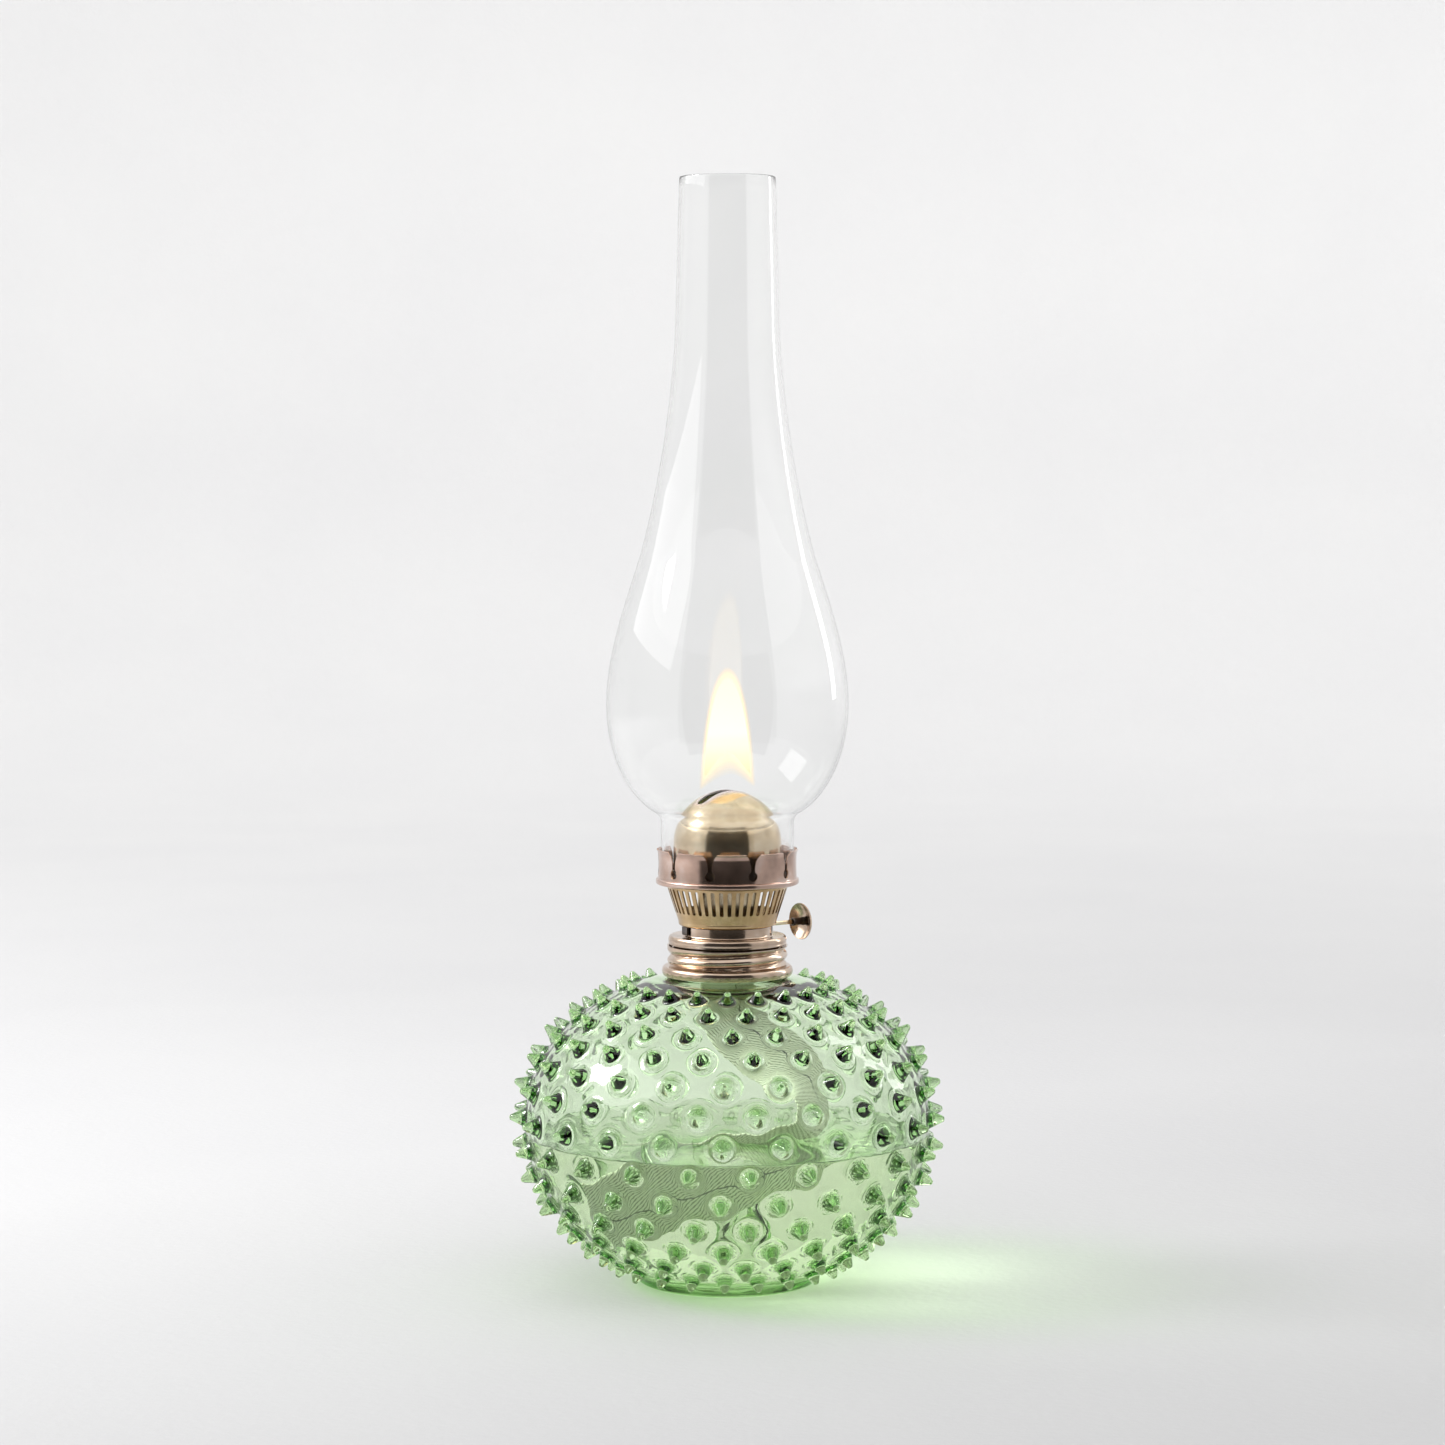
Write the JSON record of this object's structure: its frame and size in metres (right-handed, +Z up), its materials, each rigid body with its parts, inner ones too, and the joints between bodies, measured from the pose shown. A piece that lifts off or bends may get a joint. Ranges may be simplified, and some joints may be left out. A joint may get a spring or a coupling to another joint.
{
  "type": "oil lamp",
  "caption": "Table oil lamp: hobnail glass fount, threaded collar, flat-wick burner with slotted air basket and domed flame spreader, tall glass chimney.",
  "frame": {"origin": "centre of the foot ring, on the surface that the lamp stands on", "axes": "+Z up the lamp's axis; +X to the right and -Y to the front, with the winder's knob to the right rear"},
  "size_m": [0.1688, 0.1696, 0.4266],
  "materials": {
    "green_glass": "pressed, polished",
    "clear_glass": "blown, polished",
    "rose_bronze": "polished, rose tinted",
    "yellow_brass": "polished",
    "basket_brass": "satin",
    "dark_steel": "dark oxide",
    "wick_cotton": "woven cotton soaked in oil",
    "plaster": "matt plaster",
    "cork": "pressed cork"
  },
  "bodies": {
    "fount": {"fount": "green_glass", "fount_collar": "rose_bronze", "collar_cement": "plaster"},
    "gasket": {"burner_gasket": "cork"},
    "burner": {"burner_base": "rose_bronze", "tube_plate": "yellow_brass", "wick_tube": "yellow_brass", "wheel_cage": "yellow_brass", "shaft_bushing": "yellow_brass"},
    "winder": {"winder_shaft": "dark_steel", "spur_wheel_inner": "dark_steel", "spur_wheel_outer": "dark_steel", "knob_ferrule": "dark_steel", "knob_disc": "yellow_brass", "knob_rivet": "yellow_brass"},
    "wick": {"flat_wick": "wick_cotton"},
    "crown": {"air_basket": "basket_brass", "gallery": "rose_bronze", "flame_dome": "yellow_brass", "catch_left": "dark_steel", "catch_right": "dark_steel"},
    "chimney": {"chimney": "clear_glass"}
  },
  "joints": [
    {"name": "burner_rise", "type": "slide", "parent": "fount", "child": "gasket", "axis": [0, 0, 1], "range_m": [0, 0.0067]},
    {"name": "burner_unscrew", "type": "hinge", "parent": "gasket", "child": "burner", "pos_m": [0, 0, 0.1284], "axis": [0, 0, 1], "range_deg": [0, 540]},
    {"name": "winder_turn", "type": "hinge", "parent": "burner", "child": "winder", "pos_m": [-0.00293, 0.00418, 0.137], "axis": [0.8192, 0.5736, 0], "range_deg": [-57, 57]},
    {"name": "wick_slide", "type": "slide", "parent": "burner", "child": "wick", "axis": [0, 0, 1], "range_m": [-0.0039, 0.0039]},
    {"name": "crown_lift", "type": "slide", "parent": "burner", "child": "crown", "axis": [0, 0, 1], "range_m": [0, 0.05]},
    {"name": "chimney_lift", "type": "slide", "parent": "crown", "child": "chimney", "axis": [0, 0, 1], "range_m": [0, 0.06]}
  ],
  "couplings": [
    {"joint": "burner_rise", "follows": "burner_unscrew", "m_per_rad": 0.00070028},
    {"joint": "winder_turn", "follows": "wick_slide", "rad_per_m": -250}
  ]
}
